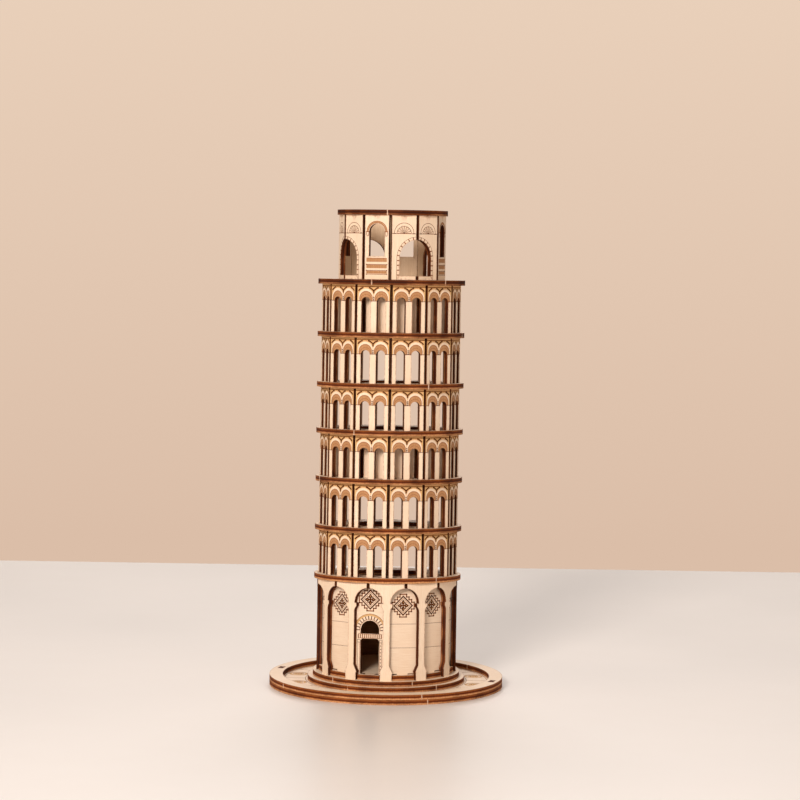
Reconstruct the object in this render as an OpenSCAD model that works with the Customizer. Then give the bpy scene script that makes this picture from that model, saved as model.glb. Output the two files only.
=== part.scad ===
// Miniature leaning round bell tower, assembled from laser-cut plywood.
// Origin: bottom centre of the round base. +Z up, the front door faces -Y.
// Azimuths are measured from the front (-Y) towards the right (+X).

/* [Plywood] */
// Thickness of the plywood sheet
ply = 2.3; // [2:0.1:2.6]
// Clearance round a tab in its slot
tab_gap = 0.05; // [0.03:0.01:0.1]

/* [Base] */
// Radius of the round base
base_r = 52.5; // [50:0.5:58]
// Inner radius of the ring glued on the base plate
recess_r = 46.5; // [44:0.5:47]
// Radius of the lower plinth disc
plinth_lower_r = 35.3; // [34.5:0.1:38]
// Radius of the upper plinth disc
plinth_upper_r = 33; // [32.5:0.1:34]
// Apothem of the twelve-sided sill that the walls stand on
sill_apothem = 30; // [29.6:0.1:30.4]

/* [Tower] */
// Lean of the tower away from the front, in degrees
lean = 4; // [2:0.5:5]
// Radius of the seven deck rings
deck_r = 33; // [32.6:0.1:35]
// Radius of the hole in each deck ring
deck_hole_r = 18; // [14:0.5:19]
// Height of the ground storey, along the tower's axis
ground_h = 41.3; // [40:0.1:46]
// Clear heights of the six loggias, from the lowest up
loggia_h = [19.7, 19.5, 19.3, 18.4, 20.3, 21.2]; // [18:0.1:24]
// Clear height of the belfry
belfry_h = 28.7; // [27:0.1:33]
// Radius of the ring on top of the belfry
top_ring_r = 24.8; // [24.5:0.1:27]
// Radius of the hole in that ring
top_hole_r = 18.5; // [14:0.5:19]

/* [Ground storey] */
// Apothem of the pillar plates' outer faces
pillar_apothem = 31.4; // [31.2:0.1:31.6]
// Width of a pillar plate
pillar_plate_w = 15.4; // [15:0.1:15.6]
// Width of a pillar's shaft
shaft_w = 3; // [2.6:0.1:3.6]
// Radius of the blind arches between pillars
arch_r = 6.8; // [6.2:0.1:6.9]
// Depth of the arch springing below the first deck
arch_spring = 9; // [8.8:0.1:11]
// Apothem of the wall panels' outer faces
wall_apothem = 28.2; // [28:0.1:28.4]
// Width of a wall panel
wall_w = 13.9; // [13.4:0.1:14]
// Width of the doorway
door_w = 8.5; // [7:0.1:9]
// Height of the doorway's arch springing above the door panel's foot
door_spring = 19.6; // [17:0.1:21]
// Height of the lintel bar's underside above the door panel's foot
lintel_bottom = 15.8; // [14:0.1:17]
// Height of the lintel bar
lintel_h = 2.2; // [1.6:0.1:2.6]

/* [Loggias] */
// Apothem of the loggia panels' outer faces
loggia_apothem = 30.3; // [30:0.1:30.6]
// Width of a loggia panel
loggia_w = 14.9; // [14.5:0.1:15]
// Width of one arched opening
opening_w = 4.1; // [3.6:0.1:4.4]
// Width of the column between a panel's two openings
mid_column_w = 2.9; // [2.6:0.1:3.2]
// Depth of the arch crowns below the deck above
crown_drop = 5.5; // [5:0.1:7]
// Apothem of the plain inner core panels' outer faces
core_apothem = 23.6; // [23:0.1:24]
// Width of a core panel
core_w = 10.6; // [10:0.1:11]

/* [Belfry] */
// Apothem of the belfry panels' outer faces
belfry_apothem = 23.3; // [23.2:0.1:24]
// Width of a belfry panel
belfry_w = 11.1; // [10.5:0.1:11.3]
// Azimuth of the first belfry window panel
belfry_turn = -17; // [-20:1:-14]
// Width of a belfry window
window_w = 7.2; // [6.5:0.1:8]
// Depth of a window's crown below the top ring
window_crown = 3.9; // [3.5:0.1:5]
// Depth of a window's sill below the top ring
window_sill = 18.4; // [17:0.1:20]
// Radius of the large arches across two panels
gate_r = 8.2; // [6.8:0.1:8.6]
// Depth of a large arch's crown below the top ring
gate_crown = 10.8; // [10:0.1:12]
// Height of the threshold under a large arch
gate_sill = 1.7; // [1.2:0.1:2.5]

/* [Hidden] */
bays = 12;
bay_turn = 360 / bays;
$fn = 96;
arc_fn = 48;

plinth_top = 3 * ply;
sill_top = plinth_top + ply;
storeys = len(loggia_h);

// Tabs: width and sideways place of each kind
tab_w = 2.4;
wide_tab_w = 3;
wall_tab_x = 4.2;
loggia_tab_x = 4.6;
// Clearance in the level sill, whose square-cut slots hold leaning plates
foot_gap = 0.3;
// How far cutting shapes run past what they cut
overlap = 1;

// Locking pegs through the base ring
peg_w = 4.6;
peg_r = (base_r + recess_r) / 2;
peg_azimuths = [-106.4, 73.6];

// Pillar profile, from the impost down to the foot
impost_w = 5.1;
impost_h = 0.6;
capital_h = 3.2;
foot_w = 5.3;
foot_h = 3.2;
flare_w = 5.9;
flare_h = 3.4;
flare_lip = 0.5;

// How far leaning plates are drawn below the floor before they are cut flat
below = 6;
// Half the size of the block that cuts them
beyond = 80;

// Side of the square brackets in the doorway's upper corners
bracket = 1.2;

GROUND_PILLARS = [for (i = [0:bays - 1]) str("ground_pillar_", i + 1)];
GROUND_WALLS = [for (i = [1:bays - 1]) str("ground_wall_", i)];
DECKS = [for (k = [1:storeys + 1]) str("deck_", k)];
LOGGIAS = [for (k = [1:storeys]) str("loggia_", k, "_panels")];
CORE_STOREYS = [3, 6];
CORES = [for (k = CORE_STOREYS) str("loggia_", k, "_core_panels")];

// Height of deck k's underside along the tower's axis
function deck_z(k) = k == 1 ? ground_h : deck_z(k - 1) + ply + loggia_h[k - 2];
function is_in(v, list) = len([for (a = list) if (a == v) a]) > 0;

belfry_z = deck_z(storeys + 1) + ply;
top_ring_z = belfry_z + belfry_h;

// Azimuths of the joints' plates, counted in bays
function pillar_az(i) = bay_turn * i;
function wall_az(i) = bay_turn * (i - 0.5);
function belfry_az(i) = belfry_turn + bay_turn * i;

// The leaning frame: its axis leaves the plinth at the centre of its top
module leaning() {
    translate([0, 0, plinth_top])
        rotate([-lean, 0, 0])
            children();
}

// Stands a flat outline upright, outer face at the apothem, facing the azimuth
module upright(azimuth, apothem, z = 0) {
    rotate([0, 0, azimuth])
        translate([0, ply - apothem, z])
            rotate([90, 0, 0])
                linear_extrude(ply)
                    children();
}

// A slot through a horizontal plate for a tab of an upright plate
module slot(azimuth, apothem, x, w, z, gap = tab_gap) {
    rotate([0, 0, azimuth])
        translate([x - w / 2 - gap, -apothem - gap, z - overlap])
            cube([w + 2 * gap, ply + 2 * gap, ply + 2 * overlap]);
}

// Everything above height z, to cut leaning plates flat
module keep_above(z) {
    intersection() {
        children();
        translate([-beyond, -beyond, z])
            cube([2 * beyond, 2 * beyond, 2 * beyond]);
    }
}

// A centred bar from height y0 to y1
module bar(w, y0, y1, x = 0) {
    translate([x - w / 2, y0])
        square([w, y1 - y0]);
}

// An opening with a round head: w wide, crown at height top, foot at height foot
module arched(w, foot, top) {
    bar(w, foot, top - w / 2);
    translate([0, top - w / 2])
        circle(d = w, $fn = arc_fn);
}

// ---- Base and plinth ----

module peg_hole(azimuth, grow) {
    rotate([0, 0, azimuth])
        translate([-peg_w / 2 - grow, -peg_r - ply / 2 - grow, -overlap])
            cube([peg_w + 2 * grow, ply + 2 * grow, 2 * ply + 2 * overlap]);
}

module base_plate() {
    color("burlywood")
        difference() {
            cylinder(r = base_r, h = ply);
            for (a = peg_azimuths)
                peg_hole(a, tab_gap);
        }
}

module base_ring() {
    color("wheat")
        translate([0, 0, ply])
            difference() {
                cylinder(r = base_r, h = ply);
                translate([0, 0, -overlap])
                    cylinder(r = recess_r, h = ply + 2 * overlap);
                for (a = peg_azimuths)
                    peg_hole(a, tab_gap);
            }
}

module base_lock_pegs() {
    color("saddlebrown")
        for (a = peg_azimuths)
            rotate([0, 0, a])
                translate([-peg_w / 2, -peg_r - ply / 2, 0])
                    cube([peg_w, ply, 2 * ply]);
}

module plinth_lower_disc() {
    color("burlywood")
        translate([0, 0, ply])
            cylinder(r = plinth_lower_r, h = ply);
}

module plinth_upper_disc() {
    color("wheat")
        translate([0, 0, 2 * ply])
            cylinder(r = plinth_upper_r, h = ply);
}

// Sill: twelve-sided, notched for the pillars' feet and slotted for the walls
module sill_plate() {
    corner_r = sill_apothem / cos(bay_turn / 2);
    color("burlywood")
        difference() {
            translate([0, 0, plinth_top])
                linear_extrude(ply)
                    polygon([for (i = [0:bays - 1])
                        [corner_r * sin(pillar_az(i)), -corner_r * cos(pillar_az(i))]]);
            for (i = [0:bays - 1]) {
                slot(pillar_az(i), pillar_apothem, 0, foot_w, plinth_top, foot_gap);
                for (side = [-1, 1])
                    slot(wall_az(i), wall_apothem, side * wall_tab_x, wide_tab_w, plinth_top, foot_gap);
            }
        }
}

// ---- Ground storey ----

// One half of a pillar plate: shaft, foot and the spandrel up to the joint.
// floor_y is the height of the plinth's top in the plate's own frame.
module pillar_half(floor_y) {
    half_plate = pillar_plate_w / 2;
    joint_x = pillar_apothem * tan(bay_turn / 2);
    spring_y = ground_h - arch_spring;
    impost_y = spring_y - impost_h;
    cap_x = impost_w / 2;
    shaft_x = shaft_w / 2;
    foot_y = floor_y + foot_h;
    difference() {
        translate([0, spring_y])
            square([half_plate, arch_spring]);
        translate([joint_x, spring_y])
            circle(r = arch_r, $fn = arc_fn);
    }
    translate([0, floor_y - below])
        square([shaft_x, spring_y - floor_y + below]);
    translate([0, impost_y])
        square([cap_x, impost_h]);
    // Capital: a quarter-round hollow under the impost
    difference() {
        translate([0, impost_y - capital_h])
            square([cap_x, capital_h]);
        translate([shaft_x + capital_h, impost_y - capital_h])
            circle(r = capital_h, $fn = arc_fn);
    }
    // Foot: a straight flare over a block
    polygon([
        [0, foot_y + flare_h],
        [shaft_x, foot_y + flare_h],
        [flare_w / 2, foot_y + flare_lip],
        [flare_w / 2, foot_y],
        [0, foot_y]
    ]);
    translate([0, floor_y - below])
        square([foot_w / 2, foot_h + below]);
}

module pillar_plate(azimuth) {
    floor_y = -(pillar_apothem - ply / 2) * cos(azimuth) * tan(lean);
    keep_above(plinth_top)
        leaning()
            upright(azimuth, pillar_apothem) {
                pillar_half(floor_y);
                mirror([1, 0])
                    pillar_half(floor_y);
                bar(tab_w, ground_h - overlap, ground_h + ply);
            }
}

module wall_outline(floor_y) {
    bar(wall_w, floor_y - below, ground_h);
    for (side = [-1, 1])
        bar(tab_w, ground_h - overlap, ground_h + ply, side * wall_tab_x);
}

// The two tabs that reach down through the sill
module wall_feet(azimuth, apothem) {
    intersection() {
        leaning()
            upright(azimuth, apothem)
                for (side = [-1, 1])
                    bar(wide_tab_w, -below, below, side * wall_tab_x);
        translate([0, 0, plinth_top])
            cylinder(r = deck_r, h = ply + overlap);
    }
}

// floor_y: the sill's top in a wall panel's own frame
function wall_floor(azimuth) =
    ply / cos(lean) - (wall_apothem - ply / 2) * cos(azimuth) * tan(lean);

module wall_panel(azimuth) {
    keep_above(sill_top)
        leaning()
            upright(azimuth, wall_apothem)
                wall_outline(wall_floor(azimuth));
    wall_feet(azimuth, wall_apothem);
}

// The doorway: an arched opening, crossed by a lintel bar at its springing
module doorway(foot_y) {
    difference() {
        arched(door_w, foot_y - 2 * below, foot_y + door_spring + door_w / 2);
        bar(2 * door_w, foot_y + lintel_bottom, foot_y + lintel_bottom + lintel_h);
        // Small corner brackets under the lintel
        for (side = [-1, 1])
            translate([side * door_w / 2, foot_y + lintel_bottom])
                rotate([0, 0, 45])
                    square(bracket, center = true);
    }
}

module door_panel() {
    azimuth = wall_az(0);
    foot_y = wall_floor(azimuth);
    color("wheat")
        difference() {
            union() {
                keep_above(sill_top)
                    leaning()
                        upright(azimuth, wall_apothem)
                            wall_outline(foot_y);
                wall_feet(azimuth, wall_apothem);
            }
            // The tabs stay whole in their slots, below the doorway
            keep_above(sill_top)
                leaning()
                    upright(azimuth, wall_apothem)
                        doorway(foot_y);
        }
}

module ground_pillar(i) {
    color("wheat")
        pillar_plate(pillar_az(i));
}

module ground_wall(i) {
    color("navajowhite")
        wall_panel(wall_az(i));
}

// ---- Decks ----

module deck(k) {
    z = deck_z(k);
    color("sienna")
        leaning()
            difference() {
                translate([0, 0, z])
                    cylinder(r = deck_r, h = ply);
                translate([0, 0, z - overlap])
                    cylinder(r = deck_hole_r, h = ply + 2 * overlap);
                for (i = [0:bays - 1])
                    deck_slots(k, i, z);
            }
}

// The slots of deck k in bay i: for the tabs that come up from below, then down from above
module deck_slots(k, i, z) {
    if (k == 1)
        slot(pillar_az(i), pillar_apothem, 0, tab_w, z);
    for (side = [-1, 1]) {
        if (k == 1)
            slot(wall_az(i), wall_apothem, side * wall_tab_x, tab_w, z);
        if (k > 1)
            slot(wall_az(i), loggia_apothem, side * loggia_tab_x, tab_w, z);
    }
    if (k <= storeys)
        slot(wall_az(i), loggia_apothem, 0, tab_w, z);
    if (is_in(k - 1, CORE_STOREYS))
        for (side = [-1, 1])
            slot(wall_az(i), core_apothem, side * core_w / 4, tab_w, z);
    if (is_in(k, CORE_STOREYS))
        slot(wall_az(i), core_apothem, 0, tab_w, z);
    if (k == storeys + 1)
        slot(belfry_az(i), belfry_apothem, 0, tab_w, z);
}

// ---- Loggias ----

module loggia_outline(h) {
    opening_x = (mid_column_w + opening_w) / 2;
    difference() {
        bar(loggia_w, 0, h);
        for (side = [-1, 1])
            translate([side * opening_x, 0])
                arched(opening_w, -overlap, h - crown_drop);
    }
    bar(tab_w, -ply, overlap);
    for (side = [-1, 1])
        bar(tab_w, h - overlap, h + ply, side * loggia_tab_x);
}

module loggia_panels(k) {
    color("moccasin")
        leaning()
            for (i = [0:bays - 1])
                upright(wall_az(i), loggia_apothem, deck_z(k) + ply)
                    loggia_outline(loggia_h[k - 1]);
}

module core_panels(k) {
    h = loggia_h[k - 1];
    color("tan")
        leaning()
            for (i = [0:bays - 1])
                upright(wall_az(i), core_apothem, deck_z(k) + ply) {
                    bar(core_w, 0, h);
                    bar(tab_w, -ply, overlap);
                    for (side = [-1, 1])
                        bar(tab_w, h - overlap, h + ply, side * core_w / 4);
                }
}

// ---- Belfry ----

module belfry_blank() {
    bar(belfry_w, 0, belfry_h);
    bar(tab_w, -ply, overlap);
    bar(tab_w, belfry_h - overlap, belfry_h + ply);
}

// Every third belfry panel, starting from panel number first
module belfry_set(first) {
    leaning()
        for (i = [first:3:bays - 1])
            upright(belfry_az(i), belfry_apothem, belfry_z)
                children();
}

// Half of a large arch whose centre line is at the joint on that side
module gate_half(side) {
    joint_x = side * belfry_apothem * tan(bay_turn / 2);
    translate([joint_x, 0])
        arched(2 * gate_r, gate_sill, belfry_h - gate_crown);
}

module belfry_window_panels() {
    color("wheat")
        belfry_set(0)
            difference() {
                belfry_blank();
                arched(window_w, belfry_h - window_sill, belfry_h - window_crown);
            }
}

module belfry_arch_left_panels() {
    color("navajowhite")
        belfry_set(1)
            difference() {
                belfry_blank();
                gate_half(1);
            }
}

module belfry_arch_right_panels() {
    color("moccasin")
        belfry_set(2)
            difference() {
                belfry_blank();
                gate_half(-1);
            }
}

module top_ring() {
    color("sienna")
        leaning()
            difference() {
                translate([0, 0, top_ring_z])
                    cylinder(r = top_ring_r, h = ply);
                translate([0, 0, top_ring_z - overlap])
                    cylinder(r = top_hole_r, h = ply + 2 * overlap);
                for (i = [0:bays - 1])
                    slot(belfry_az(i), belfry_apothem, 0, tab_w, top_ring_z);
            }
}

base_plate();
base_ring();
base_lock_pegs();
plinth_lower_disc();
plinth_upper_disc();
sill_plate();
for (i = [0:bays - 1])
    ground_pillar(i);
door_panel();
for (i = [1:bays - 1])
    ground_wall(i);
for (k = [1:storeys + 1])
    deck(k);
for (k = [1:storeys])
    loggia_panels(k);
for (j = [0:len(CORE_STOREYS) - 1])
    core_panels(CORE_STOREYS[j]);
belfry_window_panels();
belfry_arch_left_panels();
belfry_arch_right_panels();
top_ring();
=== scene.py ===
"""Looks of a miniature leaning bell tower, assembled from laser-cut birch plywood.

Every piece is rebuilt as the flat plate that it is: a front face with its engraving sunk in, a burnt
edge all round and a plain back. It stands exactly where its CAD node stands, and replaces it.
Lengths are in millimetres until a mesh is made. Azimuths are in degrees, from the front (-Y)
towards the right (+X). Plate coordinates are (right, up, outwards) from the outer face.
"""
import math
import random

import bpy
import numpy as np
from mathutils import Matrix, Vector
from mathutils.geometry import delaunay_2d_cdt


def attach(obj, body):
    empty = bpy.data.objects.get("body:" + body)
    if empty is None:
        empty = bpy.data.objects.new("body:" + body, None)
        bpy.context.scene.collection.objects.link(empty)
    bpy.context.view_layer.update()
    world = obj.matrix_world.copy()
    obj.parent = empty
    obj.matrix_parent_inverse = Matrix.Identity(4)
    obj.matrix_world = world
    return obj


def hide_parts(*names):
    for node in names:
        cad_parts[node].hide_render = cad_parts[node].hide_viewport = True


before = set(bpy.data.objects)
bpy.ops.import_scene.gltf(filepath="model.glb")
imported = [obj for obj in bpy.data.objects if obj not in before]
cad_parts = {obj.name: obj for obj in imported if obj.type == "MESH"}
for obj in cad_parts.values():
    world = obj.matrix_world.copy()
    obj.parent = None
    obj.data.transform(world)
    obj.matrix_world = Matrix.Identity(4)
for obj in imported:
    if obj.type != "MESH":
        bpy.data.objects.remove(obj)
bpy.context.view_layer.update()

MM = 0.001
rng = random.Random(7)

# ---- Driving dimensions, as in the CAD source ----

PLY = 2.3
TAB_GAP = 0.05
FOOT_GAP = 0.3

BASE_R = 52.5
RECESS_R = 46.5
PLINTH_LOWER_R = 35.3
PLINTH_UPPER_R = 33
SILL_APOTHEM = 30
PEG_W = 4.6
PEG_AZIMUTHS = (-106.4, 73.6)

LEAN = 4
BAYS = 12
BAY_TURN = 360 / BAYS
DECK_R = 33
DECK_HOLE_R = 18
GROUND_H = 41.3
LOGGIA_H = (19.7, 19.5, 19.3, 18.4, 20.3, 21.2)
BELFRY_H = 28.7
TOP_RING_R = 24.8
TOP_HOLE_R = 18.5

TAB_W = 2.4
WIDE_TAB_W = 3
WALL_TAB_X = 4.2
LOGGIA_TAB_X = 4.6

PILLAR_APOTHEM = 31.4
PILLAR_PLATE_W = 15.4
SHAFT_W = 3
ARCH_R = 6.8
ARCH_SPRING = 9
IMPOST_W = 5.1
IMPOST_H = 0.6
CAPITAL_H = 3.2
FOOT_W = 5.3
FOOT_H = 3.2
FLARE_W = 5.9
FLARE_H = 3.4
FLARE_LIP = 0.5

WALL_APOTHEM = 28.2
WALL_W = 13.9
DOOR_W = 8.5
DOOR_SPRING = 19.6
LINTEL_BOTTOM = 15.8
LINTEL_H = 2.2
BRACKET = 1.2

LOGGIA_APOTHEM = 30.3
LOGGIA_W = 14.9
OPENING_W = 4.1
MID_COLUMN_W = 2.9
CROWN_DROP = 5.5
CORE_APOTHEM = 23.6
CORE_W = 10.6
CORE_STOREYS = (3, 6)

BELFRY_APOTHEM = 23.3
BELFRY_W = 11.1
BELFRY_TURN = -17
WINDOW_W = 7.2
WINDOW_CROWN = 3.9
WINDOW_SILL = 18.4
GATE_R = 8.2
GATE_CROWN = 10.8
GATE_SILL = 1.7

PLINTH_TOP = 3 * PLY
STOREYS = len(LOGGIA_H)
PEG_R = (BASE_R + RECESS_R) / 2
HALF_BAY = math.radians(BAY_TURN / 2)
LEAN_SLOPE = math.tan(math.radians(LEAN))

# ---- Engraving: kinds of surface, and how deep the laser sinks each ----

FACE, TONE, DUSK, TRACE, LINE, EDGE, BACK = range(7)
DEPTH = {FACE: 0.0, TONE: 0.05, DUSK: 0.08, TRACE: 0.08, LINE: 0.16}
HAIR = 0.18
FINE = 0.24
BOLD = 0.44

# The scorched halo beside a cut: its width, and the spacing of the points that carry it
HALO = 0.45
HALO_STEP = 1.3
# How much darker a hole's walls are than the outer edge: painted shade inside the holes
HOLE_WALL_SHADE = 0.6
# How dark the upper storeys' panels are at their edges: partly their burn, partly painted shade in the
# gaps between panels
UPRIGHT_BURN_AND_SHADE = 0.95
# Stubs of the bridges that held a plate in its sheet: width, and how far they stand proud
STUB_W = 0.5
STUB_OUT = 0.1
# Width of a stub's crest, as a share of its foot, and the plain arc left out beside it, in degrees
STUB_TAPER = 0.8
STUB_CLEAR = 0.5


def deck_z(k):
    """Height of deck k's underside along the tower's axis."""
    return GROUND_H + sum(PLY + h for h in LOGGIA_H[: k - 1])


BELFRY_Z = deck_z(STOREYS + 1) + PLY
TOP_RING_Z = BELFRY_Z + BELFRY_H


def pillar_az(i):
    return BAY_TURN * i


def wall_az(i):
    return BAY_TURN * (i - 0.5)


def belfry_az(i):
    return BELFRY_TURN + BAY_TURN * i


# ---- Flat outlines ----


def polar(cx, cy, r, angle):
    """The point at that angle on a circle, anticlockwise from the right."""
    a = math.radians(angle)
    return (cx + r * math.cos(a), cy + r * math.sin(a))


def arc(cx, cy, r, start, end, steps):
    """Points on a circle, from one angle to another."""
    return [polar(cx, cy, r, start + (end - start) * n / steps) for n in range(steps + 1)]


def circle(cx, cy, r, steps):
    return arc(cx, cy, r, 0, 360 * (steps - 1) / steps, steps - 1)


def rect(x0, y0, x1, y1):
    return [(x0, y0), (x1, y0), (x1, y1), (x0, y1)]


def strip(half, y0, y1):
    """A band right across a plate, with corners where the scorched halo beside its cuts ends."""
    xs = (-half - HALO, HALO - half, half - HALO, half + HALO)
    return [(x, y0) for x in xs] + [(x, y1) for x in reversed(xs)]


def tabs(xs, w, y0, y1):
    """The corners of tabs on a plate's edge at y0, from left to right."""
    corners = ((-w / 2, y0), (-w / 2, y1), (w / 2, y1), (w / 2, y0))
    return [(x + dx, y) for x in xs for dx, y in corners]


def panel(w, y0, y1, foot, head):
    """A rectangle with what stands out from or cuts into its foot and head, from left to right."""
    half = w / 2
    return [(-half, y0)] + foot + [(half, y0), (half, y1)] + head[::-1] + [(-half, y1)]


def turned(points, azimuth):
    """Points turned about the origin."""
    c, s = math.cos(math.radians(azimuth)), math.sin(math.radians(azimuth))
    return [(x * c - y * s, x * s + y * c) for x, y in points]


def around(r, azimuth):
    """The point at that azimuth and distance from the axis."""
    return turned([(0, -r)], azimuth)[0]


def moved(points, dx, dy):
    return [(x + dx, y + dy) for x, y in points]


# A mitred corner reaches out no further than the line's half width over this
MITRE_LIMIT = 0.3


def drawn(kind, points, width, closed=False):
    """The marks of an engraved line: one quad for each stretch, with mitred corners."""
    pts = [Vector(p) for p in points]
    count = len(pts)
    runs = [(b - a).normalized() for a, b in zip(pts, pts[1:] + pts[:1])]
    sides = []
    for n, p in enumerate(pts):
        d0 = runs[n - 1] if n or closed else runs[0]
        d1 = runs[n] if n < count - 1 or closed else d0
        normal = Vector((-d0.y - d1.y, d0.x + d1.x)).normalized()
        reach = width / 2 / max(MITRE_LIMIT, normal.dot(Vector((-d0.y, d0.x))))
        sides.append((tuple(p + normal * reach), tuple(p - normal * reach)))
    marks = []
    for n in range(count if closed else count - 1):
        (left0, right0), (left1, right1) = sides[n], sides[(n + 1) % count]
        marks.append((kind, [right0, right1, left1, left0]))
    return marks


def dots(kind, places, r, steps=8):
    return [(kind, circle(x, y, r, steps)) for x, y in places]


def signed_area(points):
    return sum(a[0] * b[1] - b[0] * a[1] for a, b in zip(points, points[1:] + points[:1])) / 2


def anticlockwise(points):
    return points if signed_area(points) > 0 else points[::-1]


# ---- Cutting a plate: from outlines to a solid ----


# Lengths below this count as nothing, and points nearer than WELD as one
TINY = 1e-6
WELD = 1e-4
ON_CUT = 0.01
# A halo's points keep this far from every cut
HALO_CLEAR = 0.9 * HALO
STUB_REACH = 0.6 * STUB_W


def cut_lines(loops):
    """Start and end of every straight cut, as two arrays."""
    starts = np.array([p for loop in loops for p in loop])
    ends = np.array([p for loop in loops for p in loop[1:] + loop[:1]])
    return starts, ends


def cut_distance(points, lines):
    """Distance of each point from the nearest cut."""
    starts, ends = lines
    along = ends - starts
    length2 = np.maximum((along**2).sum(1), TINY**2)
    gap = points[:, None, :] - starts[None]
    t = np.clip((gap * along[None]).sum(2) / length2[None], 0, 1)
    return np.sqrt(((gap - t[..., None] * along[None]) ** 2).sum(2)).min(1)


def halo_points(loops, lines):
    """Points along the inner side of every cut, one halo's width away from it."""
    found = []
    for loop in loops:
        for a, b in zip(loop, loop[1:] + loop[:1]):
            a, b = Vector(a), Vector(b)
            length = (b - a).length
            if length < TINY:
                continue
            inwards = Vector((a.y - b.y, b.x - a.x)) / length * HALO
            pieces = max(1, round(length / HALO_STEP))
            found += [a.lerp(b, (n + 0.5) / pieces) + inwards for n in range(pieces)]
    points = np.array([tuple(p) for p in found])
    return points[cut_distance(points, lines) > HALO_CLEAR].tolist()


def triangulate(polygons, free):
    """Triangles over the polygons and free points, and the polygons that each triangle lies in."""
    points = [Vector(p) for polygon in polygons for p in polygon]
    faces, start = [], 0
    for polygon in polygons:
        faces.append(list(range(start, start + len(polygon))))
        start += len(polygon)
    points += [Vector(p) for p in free]
    verts, _, tris, origins, _, owners = delaunay_2d_cdt(points, [], faces, 0, WELD, True)
    return verts, tris, origins, [set(o) for o in owners]


def chain(edges):
    """Closed loops from directed edges."""
    after = {}
    for a, b in edges:
        after.setdefault(a, []).append(b)
    loops = []
    while after:
        start = next(iter(after))
        loop, here = [], start
        while here in after:
            loop.append(here)
            nexts = after[here]
            following = nexts.pop()
            if not nexts:
                del after[here]
            here = following
        loops.append(loop)
    return loops


class Sheet:
    """A flat plate with its engraving, ready to be placed any number of times.

    outline and holes are cut through. marks are (kind, polygon) pairs, the later ones on top.
    stubs are the points on the outline where the plate hung in its sheet.
    """

    def __init__(self, outline, holes=(), marks=(), stubs=(), thickness=PLY):
        self.points, self.faces, self.kinds = [], [], []
        self.thickness = thickness
        outline = anticlockwise(outline)
        holes = [anticlockwise(h)[::-1] for h in holes]
        lines = cut_lines([outline] + holes)
        halo = halo_points([outline] + holes, lines)
        polygons = [outline] + [h[::-1] for h in holes] + [anticlockwise(m[1]) for m in marks]
        verts, tris, _, owners = triangulate(polygons, halo)
        first_mark = 1 + len(holes)
        cut_away = set(range(1, first_mark))
        kind_of = {}
        front = []
        for tri, owner in zip(tris, owners):
            if 0 not in owner or owner & cut_away:
                continue
            top = max(owner)
            kind = marks[top - first_mark][0] if top >= first_mark else FACE
            front.append((tri, kind))
            for a, b in zip(tri, tri[1:] + tri[:1]):
                kind_of[(a, b)] = kind
        self.verts, self.index = verts, {}
        self.levels = {}
        for tri, kind in front:
            for v in tri:
                self.levels.setdefault(v, set()).add(DEPTH[kind])
        for tri, kind in front:
            self.add([self.vertex(v, DEPTH[kind]) for v in tri], kind)
        boundary = []
        for (a, b), kind in kind_of.items():
            other = kind_of.get((b, a))
            if other is None:
                boundary.append((a, b))
                middle = (verts[a] + verts[b]) / 2
                near_stub = any((middle - Vector(s)).length < STUB_REACH for s in stubs)
                self.wall(a, b, DEPTH[kind], thickness, FACE if near_stub else EDGE)
            elif DEPTH[other] > DEPTH[kind]:
                self.wall(a, b, DEPTH[kind], DEPTH[other], other)
        self.add_back(boundary, halo)
        flat = np.array([(p[0], p[1]) for p in self.points])
        self.scorch = np.clip(1 - cut_distance(flat, lines) / HALO, 0, 1)
        # Points on a hole's walls, which get painted shade
        self.inner = cut_distance(flat, cut_lines(holes)) < ON_CUT if holes else np.zeros(len(flat))

    def vertex(self, v, depth):
        key = (v, depth)
        if key not in self.index:
            self.index[key] = len(self.points)
            self.points.append((self.verts[v].x, self.verts[v].y, -depth))
        return self.index[key]

    def add(self, face, kind):
        self.faces.append(face)
        self.kinds.append(kind)

    def wall(self, a, b, top, bottom, kind):
        """An upright face under the edge a-b, with a corner at every level that meets it."""
        down = [d for d in sorted(self.levels[a] | {top, bottom}) if top <= d <= bottom]
        rise = [d for d in sorted(self.levels[b] | {top, bottom}) if top <= d <= bottom]
        face = [self.vertex(a, d) for d in down] + [self.vertex(b, d) for d in rise[::-1]]
        self.add(face, kind)

    def add_back(self, boundary, halo):
        """The plain back, which shares its corners with the walls."""
        loops = chain(boundary)
        areas = [signed_area([tuple(self.verts[v]) for v in loop]) for loop in loops]
        outer = areas.index(max(areas, key=abs))
        corners = [v for n, loop in enumerate(loops) for v in (loop if n == outer else loop[::-1])]
        polygons, start = [], 0
        for loop in loops:
            polygons.append([tuple(self.verts[v]) for v in corners[start : start + len(loop)]])
            start += len(loop)
        verts, tris, origins, owners = triangulate(polygons, halo)
        here = []
        for v, origin in zip(verts, origins):
            known = [o for o in origin if o < len(corners)]
            if known:
                here.append(self.vertex(corners[known[0]], self.thickness))
            else:
                here.append(len(self.points))
                self.points.append((v.x, v.y, -self.thickness))
        for tri, owner in zip(tris, owners):
            if owner == {outer}:
                self.add([here[v] for v in tri[::-1]], BACK)


def floor_line(azimuth, apothem, above):
    """Height, in a leaning plate's own frame, of the level plane that far above the plinth's top."""
    c, s = math.cos(math.radians(azimuth)), math.sin(math.radians(azimuth))
    rise = above / math.cos(math.radians(LEAN))

    def height(x, outwards):
        return rise + (x * s - (apothem + outwards) * c) * LEAN_SLOPE

    return height


def add_object(name, data):
    made = bpy.data.objects.new(name, data)
    bpy.context.scene.collection.objects.link(made)
    return made


# Each plate's grain comes from its own part of an endless board of this size
BOARD = 900
# Edges that turn by more than this stay sharp
SHARP_ANGLE = 30


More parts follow.
